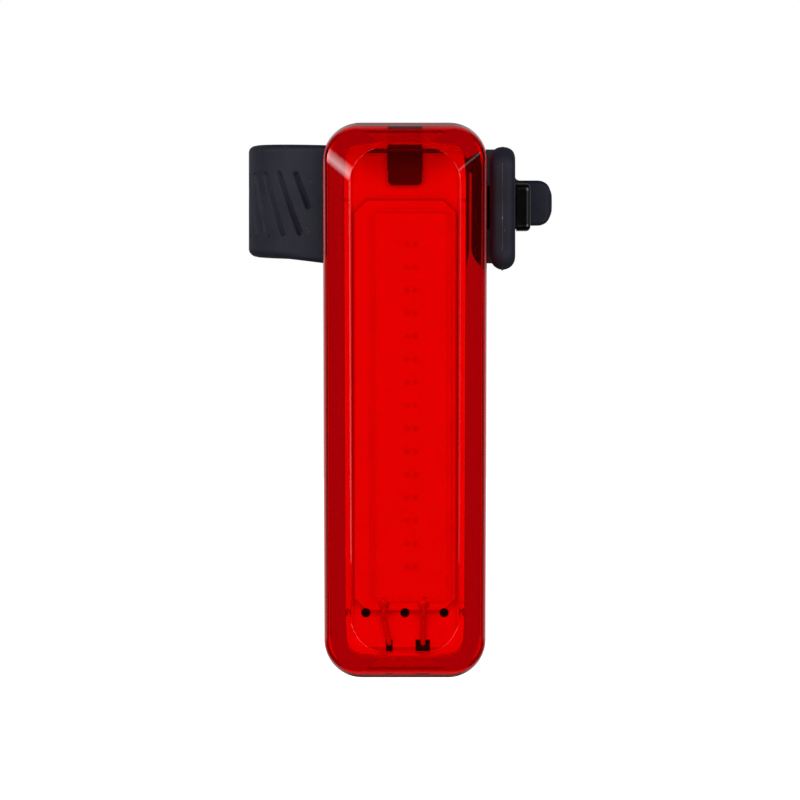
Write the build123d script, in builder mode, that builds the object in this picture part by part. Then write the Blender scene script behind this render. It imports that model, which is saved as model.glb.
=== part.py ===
from build123d import *
from math import cos, radians, sin, tan
import os

# A slim rear bike light on its seatpost mount. Millimetres.
# The origin is on the seatpost's axis, half way up the strap. +X is the hook's side, +Z is up,
# and the lens faces -Y. A depth is a distance in front of the seatpost's axis, along -Y.

# Seatpost and the mount that beds on it
post_radius = 13.6
saddle_thickness = 2.0
saddle_lip_reach = 4.4
saddle_height = 19.0
bracket_floor = 2.6
bracket_width = 24.0
bracket_height = 20.0
horn_reach = 2.0
bracket_edge = 0.6

# Light body
light_height = 84.0
light_width_top = 24.95
light_width_bottom = 24.45
light_corner = 5.75
light_above_mount = 2.9
lens_depth = 11.5
lens_wall = 1.9
lens_front_wall = 2.2
lens_draft_side = 0.15
lens_draft_end = 0.9
lens_slope_side = 1.9
lens_slope_end = 2.4
lens_slope_depth = 4.0
bevel_inset = 4.1
bevel_depth = 3.7
bevel_edge = 0.4
rim_edge = 2.2

# Rear housing
housing_depth = 8.0
housing_inset = 0.3
housing_wall = 2.2
housing_floor = 1.6
housing_edge = 2.0
gasket_width = 1.35
gasket_lip = 0.2
gasket_height = 0.6

# Circuit board and its screws
board_setback = 0.6
board_thickness = 1.2
board_clearance = 0.3
board_post_radius = 1.7
board_post_top_gap = 5.4
board_post_bottom_gap = 11.7
board_screw_radius = 0.8
board_screw_head_radius = 1.4
board_screw_head = 0.7
board_screw_bite = 2.6
board_screw_clearance = 0.1
board_screw_room = 0.075

# Battery
battery_width = 15.6
battery_room_above = 4.8
battery_room_below = 15.6
battery_room_front = 0.3
battery_pad_thickness = 0.5
battery_pad_margin = 1.0
battery_corner = 1.4
battery_wire_radius = 0.45
battery_wire_x = 2.0
battery_wire_run = 2.4

# Reflector tray
tray_gap = 0.15
tray_step_side = 1.9
tray_step_end = 2.7
tray_flange = 0.8
tray_corner = 1.65
tray_stand = 2.6
tray_floor = 1.0
tray_wall = 0.9
tray_lip_width = 0.45
tray_lip_height = 0.4
sight_hole_radius = 0.7
sight_hole_pitch = 5.9
sight_hole_drop = 0.2
sight_hole_clearance = 0.05
wire_slot_length = 1.1
wire_slot_left_width = 1.0
wire_slot_right_width = 2.2

# LED panel
panel_room_side = 0.025
panel_room_above = 6.95
panel_room_below = 5.35
panel_thickness = 0.8
panel_corner_cut = 1.9
dam_width = 12.1
dam_margin = 1.5
dam_wall = 0.45
dam_height = 0.35
dam_corner = 1.0
chip_pitch = 3.475
chip_room_end = 6.7
chip_column_gap = 1.25
chip_size = 0.6
chip_height = 0.25
chip_offset = 0.93
wire_radius = 0.35
wire_left_pad = -3.2
wire_left_foot = -2.35
wire_right_pad = 2.8
wire_right_foot = 2.7
wire_pad_overlap = 1.2
wire_bend = 0.6

# Snap hook that holds the tray's upper end
snap_width = 5.1
snap_nose = 2.3
snap_reach = 5.8
snap_setback = 3.9
snap_thickness = 0.8
snap_clearance = 0.1
snap_corner = 0.7
light_stop_width = 16.0
light_stop_gap = 1.2
light_stop_corner = 0.7

# Power button in the upper end
button_width = 9.0
button_room = 0.4
button_proud = 0.3
button_travel = 0.5
button_clearance = 0.12
button_flange = 0.8
button_flange_thickness = 0.7
button_stem_radius = 1.1
seal_thickness = 0.5
switch_width = 5.1
switch_height = 3.4
switch_thickness = 3.3
switch_gap = 0.3
switch_boss_gap = 0.2
plunger_radius = 0.8
plunger_clearance = 0.05
plunger_length = 1.6
plunger_inside = 1.2

# Charging socket and its rubber cover in the lower end
socket_width = 8.94
socket_thickness = 3.2
socket_length = 7.3
socket_shell = 0.3
socket_tongue = 0.7
socket_tongue_width = 6.7
socket_tongue_setback = 1.5
socket_clearance = 0.2
cover_width = 13.0
cover_thickness = 1.3
cover_clearance = 0.2
cover_front_gap = 1.0
cover_hinge_setback = 1.6
cover_bead_radius = 0.8
cover_bead_clearance = 0.1
cover_plug_length = 0.8
cover_plug_gap = 0.35

# Small parts on the board
controller_size = 4.0
controller_height = 0.9
controller_drop = 32.9
charge_chip_width = 4.4
charge_chip_length = 3.0
charge_chip_height = 1.1
charge_chip_gap = 2.5
passive_width = 1.6
passive_length = 0.8
passive_height = 0.6
passive_count = 5
passive_pitch = 2.4
passive_drop = 7.0

# Strap
strap_thickness = 2.4
strap_split_thickness = 2.8
strap_tip_thickness = 3.9
strap_slack_left = 8.1
strap_slack_back = 6.0
strap_slack_right = 0.6
strap_tip_gap = 0.275
strap_tip_reach = 3.8
strap_top_anchor = 9.8
strap_top_left = 10.1
strap_top_back = 10.8
strap_top_right = 10.0
strap_top_tip = 9.1
strap_bottom_anchor = 8.2
strap_bottom_left = 6.8
strap_bottom_back = 7.2
strap_bottom_right = 8.6
strap_bottom_tip = 9.4
strap_split_left = -1.0
strap_split_right = 1.0
strap_split_gap = 0.3
strap_round = 1.0
strap_end_round = 1.3
strap_tip_corner = 3.5
strap_front_clearance = 0.2
strap_recess_clearance = 0.1
strap_anchor_x = 7.6
strap_anchor_radius = 1.6
strap_anchor_height = 15.0
groove_count = 6
groove_first_angle = 14.1
groove_pitch_angle = 14.2
groove_slant = 22.0
groove_length = 10.6
groove_short_length = 6.2
groove_width = 0.65
groove_cut = 0.6
groove_middle = 0.9
groove_short_middle = 2.9

# Hook, and the strap's hole and pull lug
hook_raise = 0.35
hook_setback = 0.7
hook_neck = 4.5
hook_neck_height = 6.6
hook_head_height = 7.2
hook_head_thickness = 2.1
hook_head_gap = 0.05
hook_overhang = 1.5
hook_corner = 1.1
hook_edge = 0.6
hole_front_room = 3.0
hole_back_room = 0.7
hole_height_room = 0.5
hole_corner = 1.5
lug_length = 4.0
lug_height = 6.9
lug_raise = 1.2
lug_proud = 5.6
lug_gap = 1.4
lug_corner = 2.2
lug_edge = 0.9

# Mount screws
screw_spacing = 12.0
screw_radius = 1.0
screw_head_radius = 1.9
screw_head = 1.1
screw_head_sink = 0.1
screw_end_wall = 0.5
screw_clearance = 0.1
screw_boss_radius = 2.2

# How far an edge may lie from the place it is picked by
pick_gap = 0.01

# Places worked out from the sizes above
cradle_radius = post_radius + saddle_thickness
housing_back = cradle_radius + bracket_floor
inner_floor = housing_back + housing_floor
housing_front = housing_back + housing_depth
lens_front = housing_front + lens_depth
light_top = bracket_height / 2 + light_above_mount
light_bottom = light_top - light_height
housing_top = light_top - housing_inset
housing_bottom = light_bottom + housing_inset
housing_inner_inset = housing_inset + housing_wall
inner_top = light_top - housing_inner_inset
inner_bottom = light_bottom + housing_inner_inset
board_front = housing_front - board_setback
board_back = board_front - board_thickness
board_inset = housing_inner_inset + board_clearance
tray_inset_side = lens_wall + tray_gap + tray_step_side
tray_inset_end = lens_wall + tray_gap + tray_step_end
tray_top = light_top - tray_inset_end
tray_bottom = light_bottom + tray_inset_end
tray_back = board_front + tray_stand
tray_front = tray_back + tray_floor
panel_front = tray_front + panel_thickness
light_width = min(light_width_top, light_width_bottom)
board_post_x = (
    light_width / 2 - tray_inset_side - tray_wall - board_screw_head_radius - board_screw_room
)
panel_width = light_width - 2 * (tray_inset_side + tray_lip_width + panel_room_side)
panel_top = tray_top - panel_room_above
panel_bottom = tray_bottom + panel_room_below
panel_height = panel_top - panel_bottom
panel_middle = (panel_top + panel_bottom) / 2
chip_rows = int((panel_height - 2 * chip_room_end) / chip_pitch) + 1
snap_arm_top = light_top - snap_setback
snap_bottom = snap_arm_top + snap_clearance - snap_reach
snap_turn = snap_bottom + snap_nose


def facing(depth):
    """The upright plane at this depth that looks out of the lens: its x is X and its y is Z."""
    return Plane.XZ.offset(depth)


def level(height):
    """The level plane at this height."""
    return Plane.XY.offset(height)


def light_outline(side_inset, end_inset, corner):
    """The light's tapered, round-cornered outline, drawn in from its sides and its ends."""
    half_top = light_width_top / 2 - side_inset
    half_bottom = light_width_bottom / 2 - side_inset
    top = light_top - end_inset
    bottom = light_bottom + end_inset
    with BuildSketch(mode=Mode.PRIVATE) as outline:
        with BuildLine():
            Polyline(
                (-half_bottom, bottom),
                (half_bottom, bottom),
                (half_top, top),
                (-half_top, top),
                close=True,
            )
        make_face()
        fillet(outline.vertices(), corner)
    return outline.sketch


def even_outline(inset):
    """The light's outline drawn in alike all round, with corners that stay concentric."""
    return light_outline(inset, inset, light_corner - inset)


# Clear red lens: a shell with round shoulders, a broad bevel round its flat front, and a slope
# inside that turns what lies beside the light towards the eye
full_outline = even_outline(0)
shoulder_outline = light_outline(
    lens_draft_side, lens_draft_end, light_corner - lens_draft_end
)
face_outline = even_outline(bevel_inset)
cavity_outline = even_outline(lens_wall)
cavity_end_outline = light_outline(
    lens_wall + lens_slope_side,
    lens_wall + lens_slope_end,
    light_corner - lens_wall - lens_slope_side,
)
shoulder_depth = lens_front - bevel_depth
cavity_front = lens_front - lens_front_wall
slope_start = cavity_front - lens_slope_depth

with BuildPart() as lens_cover:
    with BuildSketch(facing(housing_front)):
        add(full_outline)
    with BuildSketch(facing(shoulder_depth)):
        add(shoulder_outline)
    with BuildSketch(facing(lens_front)):
        add(face_outline)
    loft(ruled=True)
    shoulder = lens_cover.edges().filter_by_position(
        Axis.Y, -shoulder_depth - pick_gap, -shoulder_depth + pick_gap
    )
    fillet(shoulder, rim_edge)
    fillet(lens_cover.faces().sort_by(Axis.Y)[0].edges(), bevel_edge)
    with BuildSketch(facing(housing_front)):
        add(cavity_outline)
    with BuildSketch(facing(slope_start)):
        add(cavity_outline)
    with BuildSketch(facing(cavity_front)):
        add(cavity_end_outline)
    loft(ruled=True, mode=Mode.SUBTRACT)
lens_cover.part.label = "lens_cover"

# Silicone gasket that the lens beds on, behind a narrow lip of the housing's rim
gasket_inset = housing_inset + gasket_lip
gasket_outside = even_outline(gasket_inset)
gasket_inside = even_outline(gasket_inset + gasket_width)

with BuildPart() as housing_gasket:
    with BuildSketch(facing(housing_front - gasket_height)):
        add(gasket_outside)
        add(gasket_inside, mode=Mode.SUBTRACT)
    extrude(amount=gasket_height)
housing_gasket.part.label = "housing_gasket"

# Black rear housing with everything that the other pieces seat on
housing_outline = even_outline(housing_inset)
housing_hollow = even_outline(housing_inner_inset)
board_posts = [
    (side * board_post_x, height)
    for height in (inner_top - board_post_top_gap, inner_bottom + board_post_bottom_gap)
    for side in (-1, 1)
]
bracket_screws_at = [(0, -screw_spacing / 2), (0, screw_spacing / 2)]
screw_boss_front = board_back - switch_thickness - switch_boss_gap
screw_shank_start = cradle_radius + screw_head_sink + screw_head
screw_length = screw_boss_front - screw_end_wall - screw_shank_start
button_depth = (housing_back + housing_edge + board_back) / 2
button_thickness = board_back - housing_back - housing_edge - 2 * button_room
socket_depth = board_back - socket_thickness / 2
snap_root_top = inner_top + housing_wall / 2
cover_front = housing_front - cover_front_gap
cover_hinge_depth = housing_back + cover_hinge_setback
cover_hinge_z = housing_bottom + cover_bead_radius
cover_recess_top = housing_bottom + cover_thickness + cover_clearance
cover_recess_front = cover_front + cover_clearance
cover_recess_width = cover_width + 2 * cover_clearance

with BuildPart() as rear_housing:
    with BuildSketch(facing(housing_back)):
        add(housing_outline)
    extrude(amount=housing_depth)
    fillet(rear_housing.faces().sort_by(Axis.Y)[-1].edges(), housing_edge)
    with BuildSketch(facing(inner_floor)):
        add(housing_hollow)
    extrude(amount=housing_front - inner_floor, mode=Mode.SUBTRACT)
    with BuildSketch(facing(housing_front - gasket_height)):
        add(gasket_outside)
        add(gasket_inside, mode=Mode.SUBTRACT)
    extrude(amount=gasket_height, mode=Mode.SUBTRACT)
    # posts for the board and bosses for the mount's screws, with their pilot holes
    with BuildSketch(facing(inner_floor)):
        with Locations(*board_posts):
            Circle(board_post_radius)
    extrude(amount=board_back - inner_floor)
    with BuildSketch(facing(board_back - board_screw_bite)):
        with Locations(*board_posts):
            Circle(board_screw_radius)
    extrude(amount=board_screw_bite, mode=Mode.SUBTRACT)
    with BuildSketch(facing(inner_floor)):
        with Locations(*bracket_screws_at):
            Circle(screw_boss_radius)
    extrude(amount=screw_boss_front - inner_floor)
    with BuildSketch(facing(housing_back)):
        with Locations(*bracket_screws_at):
            Circle(screw_radius)
    extrude(amount=screw_shank_start + screw_length - housing_back, mode=Mode.SUBTRACT)
    # snap hook: its root in the upper wall, its arm past the board and tray, its nose over the tray
    with BuildSketch(facing(board_back)):
        with Locations((0, (snap_root_top + snap_turn) / 2)):
            Rectangle(snap_width, snap_root_top - snap_turn)
    extrude(amount=board_front - board_back)
    with BuildSketch(facing(board_front)):
        with Locations((0, (snap_arm_top + snap_turn) / 2)):
            Rectangle(snap_width, snap_arm_top - snap_turn)
    extrude(amount=tray_front + snap_thickness - board_front)
    with BuildSketch(facing(tray_front + snap_clearance)):
        with Locations((0, (snap_arm_top + snap_bottom) / 2)):
            Rectangle(snap_width, snap_arm_top - snap_bottom)
    extrude(amount=snap_thickness - snap_clearance)
    # light stop on the arm's back: a low wall between the lens and the tray's upper end
    light_stop_foot = housing_front + tray_flange + snap_clearance
    with BuildSketch(facing(light_stop_foot)) as light_stop:
        with Locations((0, (snap_arm_top + tray_top + snap_clearance) / 2)):
            Rectangle(light_stop_width, snap_arm_top - tray_top - snap_clearance)
        fillet(light_stop.vertices().group_by(Axis.Y)[-1], light_stop_corner)
    extrude(amount=cavity_front - light_stop_gap - light_stop_foot)
    nose_corners = (
        rear_housing.edges()
        .filter_by(Axis.Y)
        .filter_by_position(Axis.Z, snap_bottom - pick_gap, snap_bottom + pick_gap)
    )
    fillet(nose_corners, snap_corner)
    # hole for the button in the upper wall
    with BuildSketch(level(inner_top - button_proud)):
        with Locations((0, -button_depth)):
            SlotOverall(
                button_width + 2 * button_clearance,
                button_thickness + 2 * button_clearance,
            )
    extrude(amount=housing_wall + 2 * button_proud, mode=Mode.SUBTRACT)
    # recess, hinge groove and socket hole in the lower wall
    with BuildSketch(level(housing_bottom - cover_thickness)):
        with Locations((0, -(cover_recess_front + cover_hinge_depth) / 2)):
            Rectangle(cover_recess_width, cover_recess_front - cover_hinge_depth)
    extrude(amount=cover_recess_top - housing_bottom + cover_thickness, mode=Mode.SUBTRACT)
    with BuildSketch(Plane.YZ.offset(-cover_recess_width / 2)):
        with Locations((-cover_hinge_depth, cover_hinge_z)):
            Circle(cover_bead_radius + cover_bead_clearance)
    extrude(amount=cover_recess_width, mode=Mode.SUBTRACT)
    with BuildSketch(level(cover_recess_top - cover_thickness)):
        with Locations((0, -socket_depth)):
            SlotOverall(
                socket_width + 2 * socket_clearance, socket_thickness + 2 * socket_clearance
            )
    extrude(amount=cover_thickness + housing_wall, mode=Mode.SUBTRACT)
rear_housing.part.label = "rear_housing"

# Circuit board, notched for the snap hook
board_outline = even_outline(board_inset)

with BuildPart() as main_board:
    with BuildSketch(facing(board_back)):
        add(board_outline)
        with Locations((0, (snap_turn - snap_clearance + light_top) / 2)):
            Rectangle(
                snap_width + 2 * snap_clearance,
                light_top - snap_turn + snap_clearance,
                mode=Mode.SUBTRACT,
            )
        with Locations(*board_posts):
            Circle(board_screw_radius + board_screw_clearance, mode=Mode.SUBTRACT)
    extrude(amount=board_thickness)
main_board.part.label = "main_board"

with BuildPart() as board_screws:
    with BuildSketch(facing(board_front)):
        with Locations(*board_posts):
            Circle(board_screw_head_radius)
    extrude(amount=board_screw_head)
    with BuildSketch(facing(board_back - board_screw_bite)):
        with Locations(*board_posts):
            Circle(board_screw_radius)
    extrude(amount=board_thickness + board_screw_bite)
board_screws.part.label = "board_screws"

# Controller chip and small components on the board's front, charge chip on its back
controller_middle = light_top - controller_drop
passive_middle = controller_middle - passive_drop
socket_mouth = cover_recess_top
socket_end = socket_mouth + socket_length
charge_chip_middle = socket_end + charge_chip_gap + charge_chip_length / 2

with BuildPart() as controller_chip:
    with BuildSketch(facing(board_front)):
        with Locations((0, controller_middle)):
            Rectangle(controller_size, controller_size)
    extrude(amount=controller_height)
controller_chip.part.label = "controller_chip"

with BuildPart() as charge_chip:
    with BuildSketch(facing(board_back - charge_chip_height)):
        with Locations((0, charge_chip_middle)):
            Rectangle(charge_chip_width, charge_chip_length)
    extrude(amount=charge_chip_height)
charge_chip.part.label = "charge_chip"

with BuildPart() as small_components:
    with BuildSketch(facing(board_front)):
        with Locations((0, passive_middle)):
            with GridLocations(passive_pitch, passive_pitch, passive_count, 1):
                Rectangle(passive_width, passive_length)
    extrude(amount=passive_height)
small_components.part.label = "small_components"

# Battery on its foam pad, and its two leads to the board
battery_back = inner_floor + battery_pad_thickness
battery_thickness = board_back - battery_room_front - battery_back
battery_end = inner_bottom + battery_room_below
battery_top = -screw_spacing / 2 - screw_boss_radius - battery_room_above
battery_length = battery_top - battery_end
battery_middle = (battery_top + battery_end) / 2

with BuildPart() as battery_pad:
    with BuildSketch(facing(inner_floor)):
        with Locations((0, battery_middle)):
            Rectangle(
                battery_width - 2 * battery_pad_margin, battery_length - 2 * battery_pad_margin
            )
    extrude(amount=battery_pad_thickness)
battery_pad.part.label = "battery_pad"

with BuildPart() as battery_cell:
    with BuildSketch(facing(battery_back)):
        with Locations((0, battery_middle)):
            Rectangle(battery_width, battery_length)
    extrude(amount=battery_thickness)
    fillet(battery_cell.edges().filter_by(Axis.Z), battery_corner)
battery_cell.part.label = "battery_cell"

battery_wire_depth = battery_back + battery_thickness / 2
with BuildPart() as battery_leads:
    for wire_x in (-battery_wire_x, battery_wire_x):
        with BuildLine() as run:
            FilletPolyline(
                (wire_x, -battery_wire_depth, battery_end),
                (wire_x, -battery_wire_depth, battery_end - battery_wire_run),
                (wire_x, -board_back, battery_end - battery_wire_run),
                radius=2 * battery_wire_radius,
            )
        with BuildSketch(Plane(origin=run.line @ 0, z_dir=run.line % 0)):
            Circle(battery_wire_radius)
        sweep(path=run.line)
battery_leads.part.label = "battery_leads"

# Reflector tray: a shallow pan upside down on the board, with a lip round its face and a flange
# that lies on the housing's rim and fills the lens
flange_outline = even_outline(lens_wall + tray_gap)
tray_outline = light_outline(tray_inset_side, tray_inset_end, tray_corner)
tray_hollow = light_outline(
    tray_inset_side + tray_wall, tray_inset_end + tray_wall, tray_corner - tray_wall
)
tray_face = light_outline(
    tray_inset_side + tray_lip_width,
    tray_inset_end + tray_lip_width,
    tray_corner - tray_lip_width,
)
sight_hole_z = panel_bottom - sight_hole_drop
wire_slots = [
    (wire_left_foot, wire_slot_left_width),
    (wire_right_foot, wire_slot_right_width),
]

with BuildPart() as reflector_tray:
    with BuildSketch(facing(board_front)):
        add(tray_outline)
    extrude(amount=tray_stand + tray_floor + tray_lip_height)
    with BuildSketch(facing(housing_front)):
        add(flange_outline)
    extrude(amount=tray_flange)
    with BuildSketch(facing(board_front)):
        add(tray_hollow)
    extrude(amount=tray_stand, mode=Mode.SUBTRACT)
    with BuildSketch(facing(tray_front)):
        add(tray_face)
    extrude(amount=tray_lip_height, mode=Mode.SUBTRACT)
    # notch for the snap hook, slots for the wires and three sight holes
    with BuildSketch(facing(board_front)):
        with Locations((0, (snap_turn - snap_clearance + light_top) / 2)):
            Rectangle(
                snap_width + 2 * snap_clearance, light_top - snap_turn + snap_clearance
            )
        for slot_x, slot_width in wire_slots:
            with Locations((slot_x, tray_bottom)):
                Rectangle(slot_width, 2 * wire_slot_length)
        with Locations((0, sight_hole_z)):
            with GridLocations(sight_hole_pitch, sight_hole_pitch, 3, 1):
                Circle(sight_hole_radius)
    extrude(amount=tray_stand + tray_floor + tray_lip_height, mode=Mode.SUBTRACT)
    # room under the nose, where it lies over the tray's lip
    with BuildSketch(facing(tray_front)):
        with Locations((0, (snap_bottom - snap_clearance + light_top) / 2)):
            Rectangle(
                snap_width + 2 * snap_clearance, light_top - snap_bottom + snap_clearance
            )
    extrude(amount=tray_lip_height, mode=Mode.SUBTRACT)
reflector_tray.part.label = "reflector_tray"

# LED panel with cut corners, notched over the sight holes
with BuildPart() as led_board:
    with BuildSketch(facing(tray_front)) as panel:
        with Locations((0, panel_middle)):
            Rectangle(panel_width, panel_height)
        chamfer(panel.vertices(), panel_corner_cut)
        with Locations((0, sight_hole_z)):
            with GridLocations(sight_hole_pitch, sight_hole_pitch, 3, 1):
                Circle(sight_hole_radius + sight_hole_clearance, mode=Mode.SUBTRACT)
    extrude(amount=panel_thickness)
led_board.part.label = "led_board"

dam_height_along = panel_height - 2 * dam_margin
with BuildPart() as cob_dam:
    with BuildSketch(facing(panel_front)):
        with Locations((chip_offset, panel_middle)):
            RectangleRounded(dam_width, dam_height_along, dam_corner)
            RectangleRounded(
                dam_width - 2 * dam_wall,
                dam_height_along - 2 * dam_wall,
                dam_corner - dam_wall,
                mode=Mode.SUBTRACT,
            )
    extrude(amount=dam_height)
cob_dam.part.label = "cob_dam"

with BuildPart() as led_chips:
    with BuildSketch(facing(panel_front)):
        with Locations((chip_offset, panel_middle)):
            with GridLocations(chip_column_gap, chip_pitch, 2, chip_rows):
                Rectangle(chip_size, chip_size)
    extrude(amount=chip_height)
led_chips.part.label = "led_chips"

# Two short wires: from the panel, over the tray and back through its slots to the board
wire_over_panel = panel_front + wire_radius
wire_over_tray = tray_front + wire_radius
wire_turn_z = tray_bottom + wire_slot_length / 2
with BuildPart() as led_leads:
    for pad_x, foot_x in (
        (wire_left_pad, wire_left_foot),
        (wire_right_pad, wire_right_foot),
    ):
        with BuildLine() as run:
            FilletPolyline(
                (pad_x, -wire_over_panel, panel_bottom + wire_pad_overlap),
                (pad_x, -wire_over_panel, panel_bottom - wire_radius),
                (pad_x, -wire_over_tray, panel_bottom - wire_radius - panel_thickness),
                (foot_x, -wire_over_tray, wire_turn_z),
                (foot_x, -board_front, wire_turn_z),
                radius=wire_bend,
            )
        with BuildSketch(Plane(origin=run.line @ 0, z_dir=run.line % 0)):
            Circle(wire_radius)
        sweep(path=run.line)
led_leads.part.label = "led_leads"

# Power button, its seal, and the side switch that it presses
flange_top = inner_top - seal_thickness
flange_bottom = flange_top - button_flange_thickness
switch_top = snap_turn - snap_clearance - switch_gap
plunger_top = switch_top + plunger_length

with BuildPart() as power_button:
    with BuildSketch(level(flange_bottom)):
        with Locations((0, -button_depth)):
            SlotOverall(
                button_width + 2 * button_flange, button_thickness + 2 * button_clearance
            )
    extrude(amount=button_flange_thickness)
    with BuildSketch(level(flange_top)):
        with Locations((0, -button_depth)):
            SlotOverall(button_width, button_thickness)
    extrude(amount=housing_top + button_proud - flange_top)
    fillet(power_button.faces().sort_by(Axis.Z)[-1].edges(), button_proud)
    with BuildSketch(level(plunger_top)):
        with Locations((0, -button_depth)):
            Circle(button_stem_radius)
    extrude(amount=flange_bottom - plunger_top)
power_button.part.label = "power_button"

with BuildPart() as button_seal:
    with BuildSketch(level(flange_top)):
        with Locations((0, -button_depth)):
            SlotOverall(
                button_width + 2 * button_flange, button_thickness + 2 * button_clearance
            )
            SlotOverall(
                button_width + button_flange, button_thickness, mode=Mode.SUBTRACT
            )
    extrude(amount=seal_thickness)
button_seal.part.label = "button_seal"

with BuildPart() as tactile_switch:
    with BuildSketch(level(switch_top - switch_height)):
        with Locations((0, -board_back + switch_thickness / 2)):
            Rectangle(switch_width, switch_thickness)
    extrude(amount=switch_height)
    with BuildSketch(level(switch_top - plunger_inside - button_travel - plunger_clearance)):
        with Locations((0, -button_depth)):
            Circle(plunger_radius + plunger_clearance)
    extrude(amount=switch_height, mode=Mode.SUBTRACT)
tactile_switch.part.label = "tactile_switch"

with BuildPart() as switch_plunger:
    with BuildSketch(level(switch_top - plunger_inside)):
        with Locations((0, -button_depth)):
            Circle(plunger_radius)
    extrude(amount=plunger_inside + plunger_length)
switch_plunger.part.label = "switch_plunger"

# Charging socket: a metal shell with a tongue
with BuildPart() as usb_socket:
    with BuildSketch(level(socket_mouth)):
        with Locations((0, -socket_depth)):
            SlotOverall(socket_width, socket_thickness)
    extrude(amount=socket_length)
    with BuildSketch(level(socket_mouth)):
        with Locations((0, -socket_depth)):
            SlotOverall(
                socket_width - 2 * socket_shell, socket_thickness - 2 * socket_shell
            )
    extrude(amount=socket_length - socket_shell, mode=Mode.SUBTRACT)
    with BuildSketch(level(socket_mouth + socket_tongue_setback)):
        with Locations((0, -socket_depth)):
            Rectangle(socket_tongue_width, socket_tongue)
    extrude(amount=socket_length - socket_tongue_setback)
usb_socket.part.label = "usb_socket"

# Rubber port cover with a bead that turns in the housing's groove
with BuildPart() as port_cover:
    with BuildSketch(Plane.YZ.offset(-cover_width / 2)):
        with Locations((-(cover_front + cover_hinge_depth) / 2, housing_bottom)):
            Rectangle(
                cover_front - cover_hinge_depth,
                cover_thickness,
                align=(Align.CENTER, Align.MIN),
            )
        with Locations((-cover_hinge_depth, cover_hinge_z)):
            Circle(cover_bead_radius)
    extrude(amount=cover_width)
    with BuildSketch(level(housing_bottom + cover_thickness)):
        with Locations((0, -socket_depth)):
            SlotOverall(
                socket_width - 2 * socket_shell - 2 * cover_plug_gap,
                socket_thickness - 2 * socket_shell - 2 * cover_plug_gap,
            )
    extrude(amount=cover_clearance + cover_plug_length)
port_cover.part.label = "port_cover"

# Glossy mount: a cradle for the post, a recess for the strap's anchor, and the hook
strap_front = housing_back - strap_front_clearance
strap_rear = strap_front - strap_thickness
anchor_depth = strap_front - strap_anchor_radius
hook_depth = housing_back - hook_setback - hook_neck
horn_depth = hook_depth - horn_reach
saddle_lip_depth = horn_depth - saddle_lip_reach
head_front = hook_depth + hook_neck + hook_overhang
strap_left = post_radius + strap_slack_left + strap_thickness
strap_back = post_radius + strap_slack_back + strap_thickness
strap_right = post_radius + strap_slack_right + strap_split_thickness
strap_tip_inside = light_width_top / 2 + strap_tip_gap
strap_tip_depth = housing_front + strap_tip_reach
hook_head_start = strap_right + hook_head_gap

with BuildSketch() as cradle_plan:
    with Locations((0, -(housing_back + horn_depth) / 2)):
        Rectangle(bracket_width, housing_back - horn_depth)
    Circle(cradle_radius, mode=Mode.SUBTRACT)

with BuildPart() as mount_bracket:
    with BuildSketch(level(-bracket_height / 2)):
        add(cradle_plan.sketch)
    extrude(amount=bracket_height)
    fillet(
        mount_bracket.edges().filter_by(Axis.Z).group_by(Axis.Y)[-1], bracket_edge / 2
    )
    with BuildSketch(Plane.YZ.offset(bracket_width / 2 - bracket_edge)):
        with Locations((-(hook_depth + hook_neck / 2), hook_raise)):
            Rectangle(hook_neck, hook_neck_height)
    extrude(amount=hook_head_start - bracket_width / 2 + bracket_edge)
    with BuildSketch(Plane.YZ.offset(hook_head_start)):
        with Locations((-(hook_depth + head_front) / 2, hook_raise)):
            RectangleRounded(head_front - hook_depth, hook_head_height, hook_corner)
    extrude(amount=hook_head_thickness)
    head_edges = mount_bracket.faces().sort_by(Axis.X)[-1].edges()
    fillet(head_edges, hook_edge)
    # recess for the strap and its bead, open to the left and to the housing
    with BuildSketch(level(-strap_anchor_height / 2 - strap_recess_clearance)):
        with Locations((-(bracket_width / 2 + strap_anchor_x) / 2, -housing_back)):
            Rectangle(
                bracket_width / 2 - strap_anchor_x + bracket_edge,
                2 * (housing_back - strap_rear + strap_recess_clearance),
            )
        with Locations((-strap_anchor_x, -anchor_depth)):
            Circle(strap_anchor_radius + strap_recess_clearance)
        with Locations((-strap_anchor_x, -(anchor_depth + housing_back) / 2)):
            Rectangle(
                2 * (strap_anchor_radius + strap_recess_clearance),
                housing_back - anchor_depth,
            )
    extrude(
        amount=strap_anchor_height + 2 * strap_recess_clearance, mode=Mode.SUBTRACT
    )
    # counterbored holes for the screws
    with BuildSketch(facing(cradle_radius - saddle_thickness)):
        with Locations(*bracket_screws_at):
            Circle(screw_head_radius + screw_clearance)
    extrude(amount=saddle_thickness + screw_head_sink + screw_head, mode=Mode.SUBTRACT)
    with BuildSketch(facing(cradle_radius)):
        with Locations(*bracket_screws_at):
            Circle(screw_radius + screw_clearance)
    extrude(amount=bracket_floor, mode=Mode.SUBTRACT)
mount_bracket.part.label = "mount_bracket"

with BuildPart() as bracket_screws:
    with BuildSketch(facing(cradle_radius + screw_head_sink)):
        with Locations(*bracket_screws_at):
            Circle(screw_head_radius)
    extrude(amount=screw_head)
    with BuildSketch(facing(screw_shank_start)):
        with Locations(*bracket_screws_at):
            Circle(screw_radius)
    extrude(amount=screw_length)
bracket_screws.part.label = "bracket_screws"

# Rubber pad that beds on the post, with lips over the cradle's horns
with BuildPart() as saddle_pad:
    with BuildSketch(level(-saddle_height / 2)):
        with Locations((0, -(cradle_radius + saddle_lip_depth) / 2)):
            Rectangle(bracket_width, cradle_radius - saddle_lip_depth)
        add(cradle_plan.sketch, mode=Mode.SUBTRACT)
        Circle(post_radius, mode=Mode.SUBTRACT)
    extrude(amount=saddle_height)
saddle_pad.part.label = "saddle_pad"

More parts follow.
